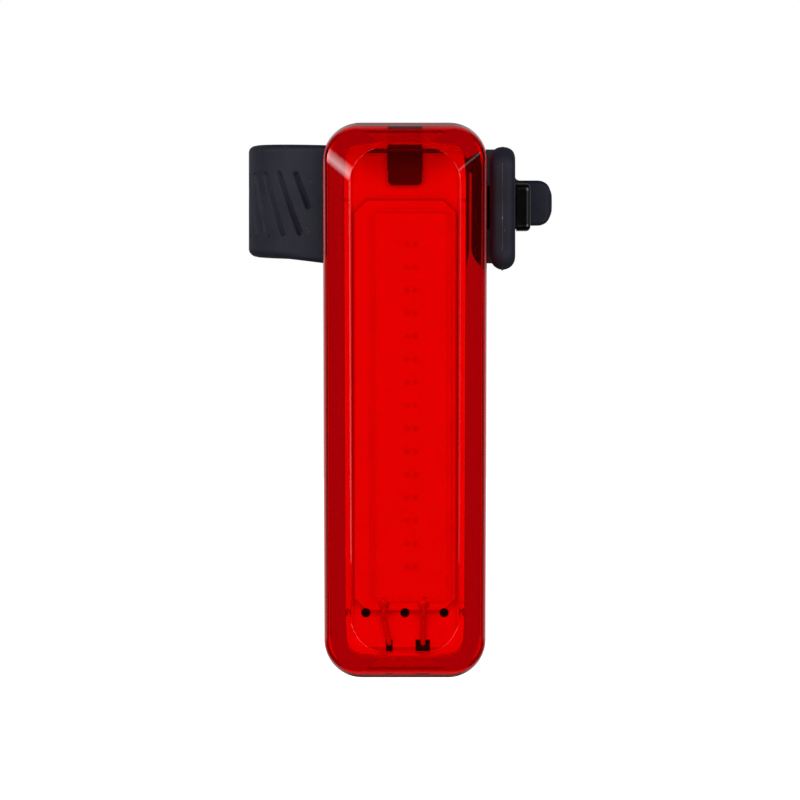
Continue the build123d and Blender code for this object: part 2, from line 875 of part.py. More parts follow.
# Strap, in plan: from the anchor round the left, behind the post, and forward on the right
bend_x = bracket_width / 2
bend_radius = strap_left - bend_x
bend_y = bend_radius - strap_front
arc_x = (strap_right - strap_left) / 2
arc_y = strap_back - (strap_left + strap_right) / 2
inner_left = strap_left - strap_thickness
inner_right = strap_right - strap_split_thickness
inner_back = strap_back - strap_thickness
root_end = strap_split_left - strap_split_gap
tip_start = strap_split_right - strap_split_gap
tip_outside = strap_tip_inside + strap_tip_thickness
blank_height = 2 * bracket_height


def round_long_edges(piece, radius):
    """Rounds the strap's long edges, and leaves the short ones at its ends."""
    for face in (piece.faces().sort_by(Axis.Z)[-1], piece.faces().sort_by(Axis.Z)[0]):
        fillet(
            face.edges().filter_by(lambda edge: edge.length > 1.5 * strap_thickness), radius
        )


with BuildPart() as strap_root:
    with BuildSketch(level(-blank_height / 2)):
        with BuildLine():
            outer_bend = CenterArc((-bend_x, bend_y), bend_radius, 180, 90)
            inner_bend = CenterArc((-bend_x, bend_y), bend_radius - strap_thickness, 180, 90)
            Polyline(outer_bend @ 0, (-strap_left, root_end), (-inner_left, root_end), inner_bend @ 0)
            Line(inner_bend @ 1, outer_bend @ 1)
        make_face()
    extrude(amount=blank_height)
    with BuildSketch(facing(0)):
        with BuildLine():
            Polyline(
                (-bend_x, strap_top_anchor),
                (-strap_left, strap_top_left),
                (-strap_left, -strap_bottom_left),
                (-bend_x, -strap_bottom_anchor),
                close=True,
            )
        make_face()
    extrude(amount=strap_front, both=True, mode=Mode.INTERSECT)
    round_long_edges(strap_root, strap_round)
    with BuildSketch(level(-strap_anchor_height / 2)):
        with Locations((-(bend_x + strap_anchor_x) / 2, -(strap_front + strap_rear) / 2)):
            Rectangle(bend_x - strap_anchor_x, strap_thickness)
        with Locations((-strap_anchor_x, -anchor_depth)):
            Circle(strap_anchor_radius)
    extrude(amount=strap_anchor_height)
    # slanted grip grooves round the bend, the one nearest to the light shorter
    for groove in range(groove_count):
        short = groove == 0
        middle = groove_short_middle if short else groove_middle
        length = groove_short_length if short else groove_length
        lean = (middle - groove_middle) * tan(radians(groove_slant))
        angle = radians(groove_first_angle + groove_pitch_angle * groove) + lean / bend_radius
        outward = Vector(-sin(angle), -cos(angle), 0)
        centre = Vector(-bend_x, bend_y, middle) + outward * bend_radius
        with BuildSketch(Plane(centre, x_dir=(cos(angle), -sin(angle), 0), z_dir=outward)):
            SlotOverall(length, groove_width, rotation=90 + groove_slant)
        extrude(amount=-groove_cut, mode=Mode.SUBTRACT)
strap_root.part.label = "strap_root"

with BuildPart() as strap_mid:
    with BuildSketch(level(-blank_height / 2)):
        with BuildLine():
            ThreePointArc((-strap_left, arc_y), (arc_x, strap_back), (strap_right, arc_y))
            Polyline(
                (strap_right, arc_y),
                (strap_right, strap_split_right),
                (inner_right, strap_split_right),
                (inner_right, arc_y),
            )
            ThreePointArc((inner_right, arc_y), (arc_x, inner_back), (-inner_left, arc_y))
            Polyline(
                (-inner_left, arc_y),
                (-inner_left, strap_split_left),
                (-strap_left, strap_split_left),
                (-strap_left, arc_y),
            )
        make_face()
    extrude(amount=blank_height)
    with BuildSketch(facing(0)):
        with BuildLine():
            ThreePointArc(
                (-strap_left, strap_top_left), (arc_x, strap_top_back), (strap_right, strap_top_right)
            )
            Line((strap_right, strap_top_right), (strap_right, -strap_bottom_right))
            ThreePointArc(
                (strap_right, -strap_bottom_right),
                (arc_x, -strap_bottom_back),
                (-strap_left, -strap_bottom_left),
            )
            Line((-strap_left, -strap_bottom_left), (-strap_left, strap_top_left))
        make_face()
    extrude(amount=strap_back, both=True, mode=Mode.INTERSECT)
    round_long_edges(strap_mid, strap_round)
strap_mid.part.label = "strap_mid"

hole_front = head_front + hole_front_room
hole_back = hook_depth - hole_back_room
lug_front = hook_depth - lug_gap

with BuildPart() as strap_end:
    with BuildSketch(level(-blank_height / 2)):
        with BuildLine():
            Polyline(
                (strap_right, tip_start),
                (inner_right, tip_start),
                (strap_tip_inside, -strap_tip_depth),
                (tip_outside, -strap_tip_depth),
                close=True,
            )
        make_face()
    extrude(amount=blank_height)
    with BuildSketch(Plane.YZ) as side_view:
        with BuildLine():
            Polyline(
                (tip_start, strap_top_right),
                (tip_start, -strap_bottom_right),
                (-strap_tip_depth, -strap_bottom_tip),
                (-strap_tip_depth, strap_top_tip),
                close=True,
            )
        make_face()
        fillet(side_view.vertices().group_by(Axis.X)[0], strap_tip_corner)
    extrude(amount=strap_right, mode=Mode.INTERSECT)
    outline_edges = strap_end.edges().filter_by(
        lambda edge: edge.center().Y < tip_start - pick_gap
        and edge.length > strap_tip_thickness + pick_gap
    )
    fillet(outline_edges, strap_end_round)
    with BuildSketch(Plane.YZ):
        with Locations((-(hole_front + hole_back) / 2, hook_raise)):
            RectangleRounded(
                hole_front - hole_back, hook_head_height + 2 * hole_height_room, hole_corner
            )
    extrude(amount=strap_right, mode=Mode.SUBTRACT)
    # pull lug behind the hole, with its two far corners well rounded
    lug_root = (inner_right + strap_right) / 2
    lug_reach = strap_right + lug_proud
    with BuildSketch(facing(lug_front - lug_length)) as lug:
        with Locations(((lug_root + lug_reach) / 2, lug_raise)):
            Rectangle(lug_reach - lug_root, lug_height)
        fillet(lug.vertices().group_by(Axis.X)[-1], lug_corner)
    extrude(amount=lug_length)
    lug_outline = strap_end.edges().filter_by(
        lambda edge: edge.center().X > strap_right + pick_gap and abs((edge % 0.5).Y) < 0.5
    )
    fillet(lug_outline, lug_edge)
strap_end.part.label = "strap_end"

os.makedirs("parts", exist_ok=True)
pieces = [
    lens_cover,
    housing_gasket,
    rear_housing,
    main_board,
    board_screws,
    controller_chip,
    charge_chip,
    small_components,
    battery_pad,
    battery_cell,
    battery_leads,
    reflector_tray,
    led_board,
    cob_dam,
    led_chips,
    led_leads,
    power_button,
    button_seal,
    tactile_switch,
    switch_plunger,
    usb_socket,
    port_cover,
    mount_bracket,
    bracket_screws,
    saddle_pad,
    strap_root,
    strap_mid,
    strap_end,
]
for piece in pieces:
    export_step(piece.part, f"parts/{piece.part.label}.step")
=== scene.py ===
import math

import bmesh
import bpy
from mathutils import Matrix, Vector


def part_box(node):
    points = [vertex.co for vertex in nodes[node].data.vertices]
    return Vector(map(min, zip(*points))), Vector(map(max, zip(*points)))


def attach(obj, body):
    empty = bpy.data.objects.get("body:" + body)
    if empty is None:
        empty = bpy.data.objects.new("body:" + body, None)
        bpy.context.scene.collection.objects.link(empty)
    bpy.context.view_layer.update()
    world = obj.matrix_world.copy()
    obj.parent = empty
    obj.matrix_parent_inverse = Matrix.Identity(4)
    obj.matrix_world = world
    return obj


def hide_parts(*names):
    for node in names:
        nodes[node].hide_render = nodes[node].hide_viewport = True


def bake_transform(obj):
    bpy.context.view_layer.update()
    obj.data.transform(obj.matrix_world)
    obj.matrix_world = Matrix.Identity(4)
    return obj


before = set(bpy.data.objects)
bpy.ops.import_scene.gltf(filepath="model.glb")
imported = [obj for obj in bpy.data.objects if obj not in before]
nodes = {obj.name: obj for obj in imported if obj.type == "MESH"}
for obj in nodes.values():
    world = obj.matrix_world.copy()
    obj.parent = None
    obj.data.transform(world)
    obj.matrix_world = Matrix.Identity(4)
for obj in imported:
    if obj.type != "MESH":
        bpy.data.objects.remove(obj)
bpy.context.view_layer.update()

MM = 0.001


# Node steps that the finishes, the backdrop and the floor share


def feed(tree, socket, given):
    """Links given to the socket, or sets it there if it is a plain value."""
    if isinstance(given, bpy.types.NodeSocket):
        tree.links.new(given, socket)
    else:
        socket.default_value = given


def coordinates(tree, kind="Object"):
    """X, Y and Z of the place on a piece, or of the direction in the world."""
    place = tree.nodes.new("ShaderNodeTexCoord")
    split = tree.nodes.new("ShaderNodeSeparateXYZ")
    tree.links.new(place.outputs[kind], split.inputs["Vector"])
    return split.outputs


def noise(tree, scale, detail=2.0, rough=0.5):
    """A noise texture over the piece's own coordinates."""
    place = tree.nodes.new("ShaderNodeTexCoord")
    texture = tree.nodes.new("ShaderNodeTexNoise")
    texture.inputs["Detail"].default_value = detail
    texture.inputs["Roughness"].default_value = rough
    tree.links.new(place.outputs["Object"], texture.inputs["Vector"])
    feed(tree, texture.inputs["Scale"], scale)
    return texture.outputs["Fac"]


def spread(tree, value, low, high, to_low=0.0, to_high=1.0):
    """Maps value from low..high to to_low..to_high, kept within them."""
    span = tree.nodes.new("ShaderNodeMapRange")
    ends = {"From Min": low, "From Max": high, "To Min": to_low, "To Max": to_high}
    for label, given in ends.items():
        feed(tree, span.inputs[label], given)
    tree.links.new(value, span.inputs["Value"])
    return span.outputs["Result"]


def blend(tree, kind, first, second, factor):
    """first where factor is 0, second where it is 1. kind is FLOAT or RGBA."""
    node = tree.nodes.new("ShaderNodeMix")
    node.data_type = kind
    for label, given in (("A", first), ("B", second), ("Factor", factor)):
        feed(tree, node.inputs[label], given)
    return node.outputs["Result"]


def maths(tree, operation, *values):
    node = tree.nodes.new("ShaderNodeMath")
    node.operation = operation
    for socket, given in zip(node.inputs, values):
        feed(tree, socket, given)
    return node.outputs[0]


def choose_surface(tree, factor, first, second):
    """Shows the first shader where factor is 0 and the second where it is 1."""
    mix = tree.nodes.new("ShaderNodeMixShader")
    tree.links.new(factor, mix.inputs["Fac"])
    tree.links.new(first, mix.inputs[1])
    tree.links.new(second, mix.inputs[2])
    tree.links.new(mix.outputs["Shader"], tree.nodes["Material Output"].inputs["Surface"])


# Shared effects, each a node group that a finish places with its own values


def new_effect(name, inputs, outputs):
    """An empty node group with these (name, type, default) inputs and (name, type) outputs."""
    group = bpy.data.node_groups.new(name, "ShaderNodeTree")
    for label, kind, value in inputs:
        socket = group.interface.new_socket(label, in_out="INPUT", socket_type=kind)
        socket.default_value = value
    for label, kind in outputs:
        group.interface.new_socket(label, in_out="OUTPUT", socket_type=kind)
    return group, group.nodes.new("NodeGroupInput"), group.nodes.new("NodeGroupOutput")


COARSE_SHARE = 0.31


def mould_grain():
    """The fine texture that a spark-eroded mould leaves on plastic and rubber."""
    group, given, out = new_effect(
        "mould_grain",
        [("Scale", "NodeSocketFloat", 3000.0), ("Softness", "NodeSocketFloat", 0.5)],
        [("Height", "NodeSocketFloat")],
    )
    fine = noise(group, given.outputs["Scale"], detail=3.0, rough=0.6)
    wider = maths(group, "MULTIPLY", given.outputs["Scale"], COARSE_SHARE)
    coarse = noise(group, wider, detail=1.0)
    mixed = maths(group, "MULTIPLY_ADD", coarse, given.outputs["Softness"], fine)
    group.links.new(mixed, out.inputs["Height"])
    return group


def handling():
    """Slow changes of sheen where hands have been."""
    group, given, out = new_effect(
        "handling",
        [
            ("Size", "NodeSocketFloat", 120.0),
            ("Clean", "NodeSocketFloat", 0.3),
            ("Handled", "NodeSocketFloat", 0.4),
        ],
        [("Roughness", "NodeSocketFloat")],
    )
    cloud = noise(group, given.outputs["Size"], detail=4.0, rough=0.62)
    rough = spread(group, cloud, 0.35, 0.68, given.outputs["Clean"], given.outputs["Handled"])
    group.links.new(rough, out.inputs["Roughness"])
    return group


def lint():
    """Sparse pale specks of dust, as silicone picks up."""
    group, given, out = new_effect(
        "lint",
        [
            ("Colour", "NodeSocketColor", (0.0, 0.0, 0.0, 1.0)),
            ("Dust", "NodeSocketColor", (0.3, 0.3, 0.32, 1.0)),
            ("Amount", "NodeSocketFloat", 0.3),
            ("Scale", "NodeSocketFloat", 900.0),
        ],
        [("Colour", "NodeSocketColor")],
    )
    place = group.nodes.new("ShaderNodeTexCoord")
    cells = group.nodes.new("ShaderNodeTexVoronoi")
    group.links.new(place.outputs["Object"], cells.inputs["Vector"])
    group.links.new(given.outputs["Scale"], cells.inputs["Scale"])
    near = spread(group, cells.outputs["Distance"], 0.05, 0.13, 1.0, 0.0)
    patchy = spread(group, noise(group, 230.0), 0.52, 0.7)
    rare = maths(group, "MULTIPLY", near, patchy)
    amount = maths(group, "MULTIPLY", rare, given.outputs["Amount"])
    dusted = blend(group, "RGBA", given.outputs["Colour"], given.outputs["Dust"], amount)
    group.links.new(dusted, out.inputs["Colour"])
    return group


def mottle():
    """A colour that drifts a little over the surface."""
    group, given, out = new_effect(
        "mottle",
        [
            ("Colour", "NodeSocketColor", (0.5, 0.5, 0.5, 1.0)),
            ("Drift", "NodeSocketColor", (0.45, 0.45, 0.45, 1.0)),
            ("Scale", "NodeSocketFloat", 200.0),
        ],
        [("Colour", "NodeSocketColor")],
    )
    cloud = spread(group, noise(group, given.outputs["Scale"], detail=3.0), 0.35, 0.65)
    drifting = blend(group, "RGBA", given.outputs["Colour"], given.outputs["Drift"], cloud)
    group.links.new(drifting, out.inputs["Colour"])
    return group


EFFECTS = {
    "mould_grain": mould_grain(),
    "handling": handling(),
    "lint": lint(),
    "mottle": mottle(),
}


# Finishes


def place_effect(material, name, **values):
    node = material.node_tree.nodes.new("ShaderNodeGroup")
    node.node_tree = EFFECTS[name]
    for label, value in values.items():
        feed(material.node_tree, node.inputs[label], value)
    return node


def new_finish(name, **values):
    """A Principled material, with these values on the shader's own sockets."""
    material = bpy.data.materials.new(name)
    material.use_nodes = True
    shader = material.node_tree.nodes["Principled BSDF"]
    for label, value in values.items():
        shader.inputs[label.replace("_", " ")].default_value = value
    return material, shader


def give_bump(material, shader, height, depth):
    bump = material.node_tree.nodes.new("ShaderNodeBump")
    bump.inputs["Distance"].default_value = depth
    bump.inputs["Strength"].default_value = 1.0
    material.node_tree.links.new(height, bump.inputs["Height"])
    material.node_tree.links.new(bump.outputs["Normal"], shader.inputs["Normal"])


def moulded(name, colour, drift, sheen, grain, dust=0.0, **more):
    """Moulded plastic or rubber: drifting colour, mould grain, handling and a little lint.

    sheen is the roughness where it is clean and where it is handled. grain is how fine the
    mould's texture is, and how deep in metres.
    """
    material, shader = new_finish(name, **more)
    links = material.node_tree.links
    clean, handled = sheen
    fineness, depth = grain
    tint = place_effect(material, "mottle", Colour=colour, Drift=drift, Scale=260.0)
    surface = tint.outputs["Colour"]
    if dust:
        surface = place_effect(material, "lint", Colour=surface, Amount=dust).outputs["Colour"]
    links.new(surface, shader.inputs["Base Color"])
    touched = place_effect(material, "handling", Size=140.0, Clean=clean, Handled=handled)
    links.new(touched.outputs["Roughness"], shader.inputs["Roughness"])
    texture = place_effect(material, "mould_grain", Scale=fineness, Softness=0.6)
    give_bump(material, shader, texture.outputs["Height"], depth)
    return material


def plated(name, colour, rough):
    """Plated or bare metal whose tone and sheen change a little over the surface."""
    material, shader = new_finish(name, Metallic=1.0)
    links = material.node_tree.links
    darker = tuple(0.8 * part for part in colour[:3]) + (1.0,)
    tint = place_effect(material, "mottle", Colour=colour, Drift=darker, Scale=900.0)
    links.new(tint.outputs["Colour"], shader.inputs["Base Color"])
    touched = place_effect(material, "handling", Size=800.0, Clean=rough, Handled=rough + 0.15)
    links.new(touched.outputs["Roughness"], shader.inputs["Roughness"])
    return material


def grey(level):
    return (level, level, level, 1.0)


def lens_finish():
    """Clear red polycarbonate. Lamps light what is behind it through its own tint."""
    material, shader = new_finish(
        "clear_red",
        Base_Color=(0.86, 0.0, 0.004, 1.0),
        Roughness=0.015,
        IOR=1.5,
        Transmission_Weight=1.0,
    )
    tree = material.node_tree
    tint = tree.nodes.new("ShaderNodeBsdfTransparent")
    tint.inputs["Color"].default_value = (0.93, 0.0, 0.01, 1.0)
    rays = tree.nodes.new("ShaderNodeLightPath")
    lamps = maths(tree, "MAXIMUM", rays.outputs["Is Shadow Ray"], rays.outputs["Is Diffuse Ray"])
    choose_surface(tree, lamps, shader.outputs["BSDF"], tint.outputs["BSDF"])
    return material


# The panel's cut corners, and how wide the painted shade line round its edge is
CORNER_CUT = 0.0019
SHADE_LINE_WIDTH = 0.00035


def panel_finish():
    """White solder mask, with a darker line painted round the panel's sides and cut corners as
    painted shade where the panel meets the tray.
    """
    low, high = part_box("led_board")
    middle = (low + high) / 2
    half = (high - low) / 2
    material = moulded(
        "panel_mask",
        grey(0.84),
        grey(0.8),
        sheen=(0.34, 0.42),
        grain=(4000.0, 0.000004),
        Specular_IOR_Level=0.3,
    )
    tree = material.node_tree
    shader = tree.nodes["Principled BSDF"]
    mask_colour = shader.inputs["Base Color"].links[0].from_socket
    place = coordinates(tree)
    across = maths(tree, "ABSOLUTE", maths(tree, "SUBTRACT", place["X"], middle.x))
    along = maths(tree, "ABSOLUTE", maths(tree, "SUBTRACT", place["Z"], middle.z))
    to_side = maths(tree, "SUBTRACT", half.x, across)
    to_end = maths(tree, "SUBTRACT", half.z, along)
    past_cut = maths(tree, "SUBTRACT", maths(tree, "ADD", to_side, to_end), CORNER_CUT)
    to_cut = maths(tree, "MULTIPLY", past_cut, math.sqrt(0.5))
    to_edge = maths(tree, "MINIMUM", maths(tree, "MINIMUM", to_side, to_end), to_cut)
    # Painted shade: a darker line round the panel's edge, for the shade between the panel and the
    # tray
    painted_edge_shade = spread(tree, to_edge, 0.6 * SHADE_LINE_WIDTH, SHADE_LINE_WIDTH, 1.0, 0.0)
    shade_line_colour = (0.52, 0.48, 0.36, 1.0)
    surface = blend(tree, "RGBA", mask_colour, shade_line_colour, painted_edge_shade)
    tree.links.new(surface, shader.inputs["Base Color"])
    return material


clear_red = lens_finish()
white_tray = moulded(
    "white_reflector",
    grey(0.86),
    grey(0.82),
    sheen=(0.3, 0.36),
    grain=(2500.0, 0.000004),
    Specular_IOR_Level=0.3,
)
white_panel = panel_finish()
white_dam = moulded(
    "dam_silicone",
    grey(0.8),
    grey(0.74),
    sheen=(0.28, 0.36),
    grain=(5000.0, 0.000003),
    Specular_IOR_Level=0.3,
)
milky_silicone = moulded(
    "milky_silicone",
    grey(0.78),
    grey(0.72),
    sheen=(0.4, 0.5),
    grain=(4200.0, 0.000006),
    Specular_IOR_Level=0.3,
)
chip_coat = moulded(
    "chip_coat",
    (0.76, 0.62, 0.27, 1.0),
    (0.7, 0.56, 0.24, 1.0),
    sheen=(0.12, 0.2),
    grain=(6000.0, 0.000002),
    Coat_Weight=0.6,
    Coat_Roughness=0.08,
)
lead_insulation = moulded(
    "lead_insulation", grey(0.62), grey(0.55), sheen=(0.3, 0.4), grain=(5000.0, 0.000003)
)
black_housing = moulded(
    "black_housing",
    (0.05, 0.05, 0.053, 1.0),
    (0.054, 0.054, 0.057, 1.0),
    sheen=(0.42, 0.5),
    grain=(3600.0, 0.00003),
    dust=0.12,
)
gloss_mount = moulded(
    "gloss_mount",
    (0.0018, 0.0019, 0.0022, 1.0),
    (0.0028, 0.003, 0.0034, 1.0),
    sheen=(0.13, 0.2),
    grain=(900.0, 0.000006),
    dust=0.1,
    Coat_Weight=0.3,
    Coat_Roughness=0.1,
)
strap_silicone = moulded(
    "strap_silicone",
    (0.0085, 0.0095, 0.0175, 1.0),
    (0.011, 0.0122, 0.022, 1.0),
    sheen=(0.5, 0.6),
    grain=(4200.0, 0.000018),
    dust=0.25,
    Specular_IOR_Level=0.18,
    Sheen_Weight=0.03,
    Sheen_Roughness=0.4,
    Sheen_Tint=(0.75, 0.8, 1.0, 1.0),
)
flash_edge = moulded(
    "flash_edge",
    (0.018, 0.02, 0.027, 1.0),
    (0.06, 0.063, 0.075, 1.0),
    sheen=(0.4, 0.5),
    grain=(4200.0, 0.00001),
    dust=1.0,
    Specular_IOR_Level=0.2,
)
black_silicone = moulded(
    "black_silicone",
    (0.014, 0.014, 0.016, 1.0),
    (0.019, 0.019, 0.021, 1.0),
    sheen=(0.52, 0.62),
    grain=(4200.0, 0.00002),
    dust=0.25,
    Sheen_Weight=0.08,
    Sheen_Roughness=0.5,
)
board_mask = moulded(
    "board_mask",
    (0.012, 0.03, 0.02, 1.0),
    (0.016, 0.042, 0.026, 1.0),
    sheen=(0.3, 0.4),
    grain=(2500.0, 0.00001),
)
chip_package = moulded(
    "chip_package", grey(0.022), grey(0.03), sheen=(0.45, 0.55), grain=(5000.0, 0.000012)
)
cell_foil = plated("cell_foil", (0.62, 0.63, 0.65, 1.0), 0.34)
socket_steel = plated("socket_steel", (0.6, 0.6, 0.61, 1.0), 0.22)
screw_zinc = plated("screw_zinc", (0.1, 0.1, 0.105, 1.0), 0.34)
foam = moulded("foam", grey(0.05), grey(0.075), sheen=(0.85, 0.9), grain=(1800.0, 0.0002))
solder_tin = plated("solder_tin", (0.86, 0.86, 0.84, 1.0), 0.5)

FINISH_OF_NODE = {
    "lens_cover": clear_red,
    "housing_gasket": milky_silicone,
    "rear_housing": black_housing,
    "main_board": board_mask,
    "board_screws": screw_zinc,
    "controller_chip": chip_package,
    "charge_chip": chip_package,
    "small_components": chip_package,
    "battery_pad": foam,
    "battery_cell": cell_foil,
    "battery_leads": lead_insulation,
    "reflector_tray": white_tray,
    "led_board": white_panel,
    "cob_dam": white_dam,
    "led_chips": chip_coat,
    "led_leads": lead_insulation,
    "power_button": black_silicone,
    "button_seal": black_silicone,
    "tactile_switch": chip_package,
    "switch_plunger": black_housing,
    "usb_socket": socket_steel,
    "port_cover": black_silicone,
    "mount_bracket": gloss_mount,
    "bracket_screws": screw_zinc,
    "saddle_pad": black_silicone,
    "strap_root": strap_silicone,
    "strap_mid": strap_silicone,
    "strap_end": strap_silicone,
}
for node_name, finish in FINISH_OF_NODE.items():
    mesh = nodes[node_name].data
    mesh.materials.clear()
    mesh.materials.append(finish)


# Steps that every piece made here shares

# Across, up and the start in degrees of each corner of a rounded loop
CORNERS = ((1, 1, 0), (-1, 1, 90), (-1, -1, 180), (1, -1, 270))


def share(value, start, end):
    """How far value is on its way from start to end, from 0 to 1."""
    return min(1.0, max(0.0, (value - start) / (end - start)))


def between(first, last, part):
    """The value this part of the way from first to last."""
    return first + (last - first) * part


def steps(start, end, pitch):
    """Even stops from start to end, about this far apart."""
    count = max(1, round(abs(end - start) / pitch))
    return [start + (end - start) * i / count for i in range(count + 1)]


def quarter_turn(count, start=0):
    """The angles of a quarter turn from start degrees, in radians, with both its ends."""
    return [math.radians(start + 90 * step / count) for step in range(count + 1)]


def end_fall(radius, room):
    """How far a rounded end has fallen away, at this distance from where it stops."""
    if room >= radius:
        return 0.0
    return radius - math.sqrt(max(0.0, radius**2 - (radius - room) ** 2))


def skin(name, rings, close_start=True, close_end=True):
    """A mesh through these rings, all with as many points."""
    mesh = bmesh.new()
    layers = [[mesh.verts.new(p) for p in ring] for ring in rings]
    count = len(rings[0])
    for lower, upper in zip(layers, layers[1:]):
        for i in range(count):
            j = (i + 1) % count
            mesh.faces.new((lower[i], lower[j], upper[j], upper[i]))
    if close_start:
        mesh.faces.new(layers[0][::-1])
    if close_end:
        mesh.faces.new(layers[-1])
    bmesh.ops.recalc_face_normals(mesh, faces=mesh.faces)
    if close_start and close_end and mesh.calc_volume(signed=True) < 0:
        bmesh.ops.reverse_faces(mesh, faces=mesh.faces)
    data = bpy.data.meshes.new(name)
    mesh.to_mesh(data)
    mesh.free()
    piece = bpy.data.objects.new(name, data)
    bpy.context.scene.collection.objects.link(piece)
    return piece


def smooth(piece, angle=40.0):
    """Shades the piece smooth, except over edges sharper than this many degrees."""
    piece.data.polygons.foreach_set("use_smooth", [True] * len(piece.data.polygons))
    piece.data.set_sharp_from_angle(angle=math.radians(angle))


def apply_modifiers(piece):
    graph = bpy.context.evaluated_depsgraph_get()
    data = bpy.data.meshes.new_from_object(piece.evaluated_get(graph))
    piece.modifiers.clear()
    old = piece.data
    piece.data = data
    bpy.data.meshes.remove(old)


def dress(piece, finish, body=None):
    piece.data.materials.clear()
    piece.data.materials.append(finish)
    if body:
        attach(piece, body)


# The strap, in millimetres: a flat silicone band round the post, drawn by its outer face

root_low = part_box("strap_root")[0] / MM
mid_low, mid_high = (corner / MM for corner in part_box("strap_mid"))
end_low, end_high = (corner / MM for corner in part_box("strap_end"))
STRAP_LEFT, STRAP_RIGHT = mid_low.x, mid_high.x
STRAP_FRONT = root_low.y
BEND_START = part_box("saddle_pad")[0].x / MM
BEND_RADIUS = BEND_START - STRAP_LEFT
BEND_CENTRE = (BEND_START, STRAP_FRONT + BEND_RADIUS)
BACK_RADIUS = (STRAP_RIGHT - STRAP_LEFT) / 2
BACK_CENTRE = ((STRAP_RIGHT + STRAP_LEFT) / 2, mid_high.y - BACK_RADIUS)
ARM_START, ARM_END = end_high.y, end_low.y
ARM_DRIFT = 0.35
ROOT_THICK, SPLIT_THICK, TIP_THICK = 2.4, 2.8, 3.9

# Heights of the strap's upper and lower edges at its anchor, left, back, right and tip
TOP_ANCHOR, TOP_LEFT, TOP_BACK, TOP_RIGHT, TOP_TIP = 9.8, 10.1, 10.8, 10.0, 9.1
FOOT_ANCHOR, FOOT_LEFT, FOOT_BACK, FOOT_RIGHT, FOOT_TIP = -8.2, -6.8, -7.1, -7.7, -9.6

# How round the band's edges are: everywhere, in its anchor, and at the tip's top and foot
BAND_ROUND, ANCHOR_ROUND, HEAD_ROUND, FOOT_ROUND, LEAST_ROUND = 1.0, 0.6, 1.7, 1.95, 0.02
EDGE_STEPS, INNER_STEPS, GROOVED_STEPS, PLAIN_STEPS = 6, 12, 96, 16

# How far the line where the mould parts stands up, at these places across the edge
PARTING = ((-0.16, 0.0), (-0.05, 0.05), (0.05, 0.05), (0.16, 0.0))


def arc_height(x, left, middle, right):
    """The height, at x, of the circle through the strap's left, back and right ends."""
    ax, bx, cx = STRAP_LEFT, BACK_CENTRE[0], STRAP_RIGHT
    ay, by, cy = left, middle, right
    d = 2 * (ax * (by - cy) + bx * (cy - ay) + cx * (ay - by))
    a, b, c = ax * ax + ay * ay, bx * bx + by * by, cx * cx + cy * cy
    ux = (a * (by - cy) + b * (cy - ay) + c * (ay - by)) / d
    uy = (a * (cx - bx) + b * (ax - cx) + c * (bx - ax)) / d
    rise = math.sqrt(max(0.0, (ax - ux) ** 2 + (ay - uy) ** 2 - (x - ux) ** 2))
    return uy + rise if middle > uy else uy - rise


# Each station is an outer point, its outward direction, the thickness, and the two heights


def bend_station(angle):
    """On the bend beside the light."""
    out = (-math.sin(angle), -math.cos(angle))
    x = BEND_CENTRE[0] + BEND_RADIUS * out[0]
    y = BEND_CENTRE[1] + BEND_RADIUS * out[1]
    t = share(x, BEND_CENTRE[0], STRAP_LEFT)
    top, foot = between(TOP_ANCHOR, TOP_LEFT, t), between(FOOT_ANCHOR, FOOT_LEFT, t)
    return (x, y), out, ROOT_THICK, top, foot


def side_station(y):
    """On the straight run beside the post, on the left."""
    return (STRAP_LEFT, y), (-1.0, 0.0), ROOT_THICK, TOP_LEFT, FOOT_LEFT


def back_station(angle):
    """On the half circle behind the post, from the left at angle 0 to the right at pi."""
    out = (-math.cos(angle), math.sin(angle))
    x = BACK_CENTRE[0] + BACK_RADIUS * out[0]
    y = BACK_CENTRE[1] + BACK_RADIUS * out[1]
    half = 0.5 - 0.5 * math.cos(angle)
    thick = between(ROOT_THICK, SPLIT_THICK, half**2)
    top = arc_height(x, TOP_LEFT, TOP_BACK, TOP_RIGHT)
    return (x, y), out, thick, top, arc_height(x, FOOT_LEFT, FOOT_BACK, FOOT_RIGHT)


def arm_station(y):
    """On the run down the right side to the tip."""
    t = share(-y, -ARM_START, -ARM_END)
    x = STRAP_RIGHT - ARM_DRIFT * t
    thick = between(SPLIT_THICK, TIP_THICK, t)
    top, foot = between(TOP_RIGHT, TOP_TIP, t), between(FOOT_RIGHT, FOOT_TIP, t)
    return (x, y), (1.0, 0.0), thick, top, foot


GROOVE_COUNT, GROOVE_FIRST, GROOVE_PITCH = 6, 14.1, 14.2
GROOVE_LENGTH, GROOVE_SHORT, GROOVE_HALF, GROOVE_CUT = 10.6, 6.2, 0.4, 0.5
GROOVE_MIDDLE, SHORT_MIDDLE = 0.9, 2.9
GROOVE_FLARE = 1.15
GROOVE_SLANT = math.radians(22.0)


def groove_lines():
    """Both ends of each slanted groove, along the bend and up it. The first is a short one."""
    lines = []
    for count in range(GROOVE_COUNT):
        short = count == 0
        height = SHORT_MIDDLE if short else GROOVE_MIDDLE
        run = (GROOVE_SHORT if short else GROOVE_LENGTH) / 2 - GROOVE_HALF
        turned = math.radians(GROOVE_FIRST + GROOVE_PITCH * count) * BEND_RADIUS
        along = turned + (height - GROOVE_MIDDLE) * math.tan(GROOVE_SLANT)
        lean = Vector((math.sin(GROOVE_SLANT), math.cos(GROOVE_SLANT))) * run
        lines.append((Vector((along, height)) - lean, Vector((along, height)) + lean))
    return lines


GROOVES = groove_lines()


def groove_depth(along, height):
    """How deep the grip grooves cut at this place on the bend's outer face."""
    place = Vector((along, height))
    deepest = 0.0
    for start, end in GROOVES:
        run = end - start
        t = min(1.0, max(0.0, (place - start).dot(run) / run.length_squared))
        away = (place - start - run * t).length / (GROOVE_HALF * GROOVE_FLARE)
        if away < 1.0:
            deepest = max(deepest, GROOVE_CUT * (1.0 - away * away) ** 1.5)
    return deepest


